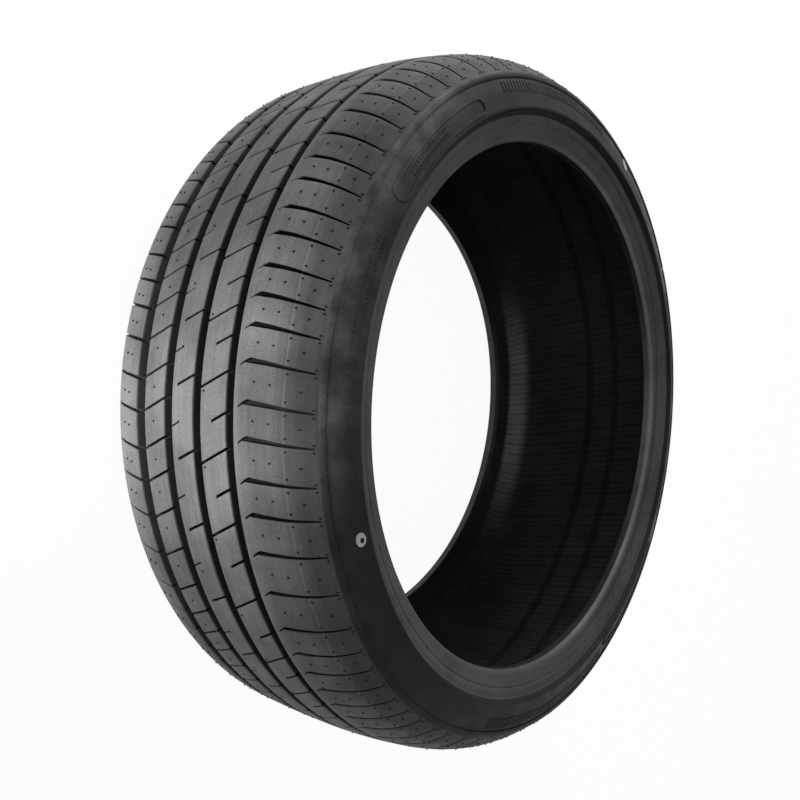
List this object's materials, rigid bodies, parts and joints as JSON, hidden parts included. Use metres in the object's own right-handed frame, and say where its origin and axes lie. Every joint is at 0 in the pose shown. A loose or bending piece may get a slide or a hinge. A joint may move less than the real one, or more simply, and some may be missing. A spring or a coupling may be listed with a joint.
{
  "type": "car tyre",
  "caption": "Low-profile car tyre off its rim, with grooved asymmetric tread, ridged sidewalls and a hollow air channel inside.",
  "frame": {"origin": "on the spin axis, at the level the inner sidewall rests on", "axes": "+Z along the spin axis, out of the outer sidewall that the picture shows; X and Y are radial"},
  "size_m": [0.6608, 0.6607, 0.2472],
  "materials": {
    "rubber": "matt moulded rubber"
  },
  "bodies": {
    "root": {"tyre": "rubber"}
  },
  "joints": []
}
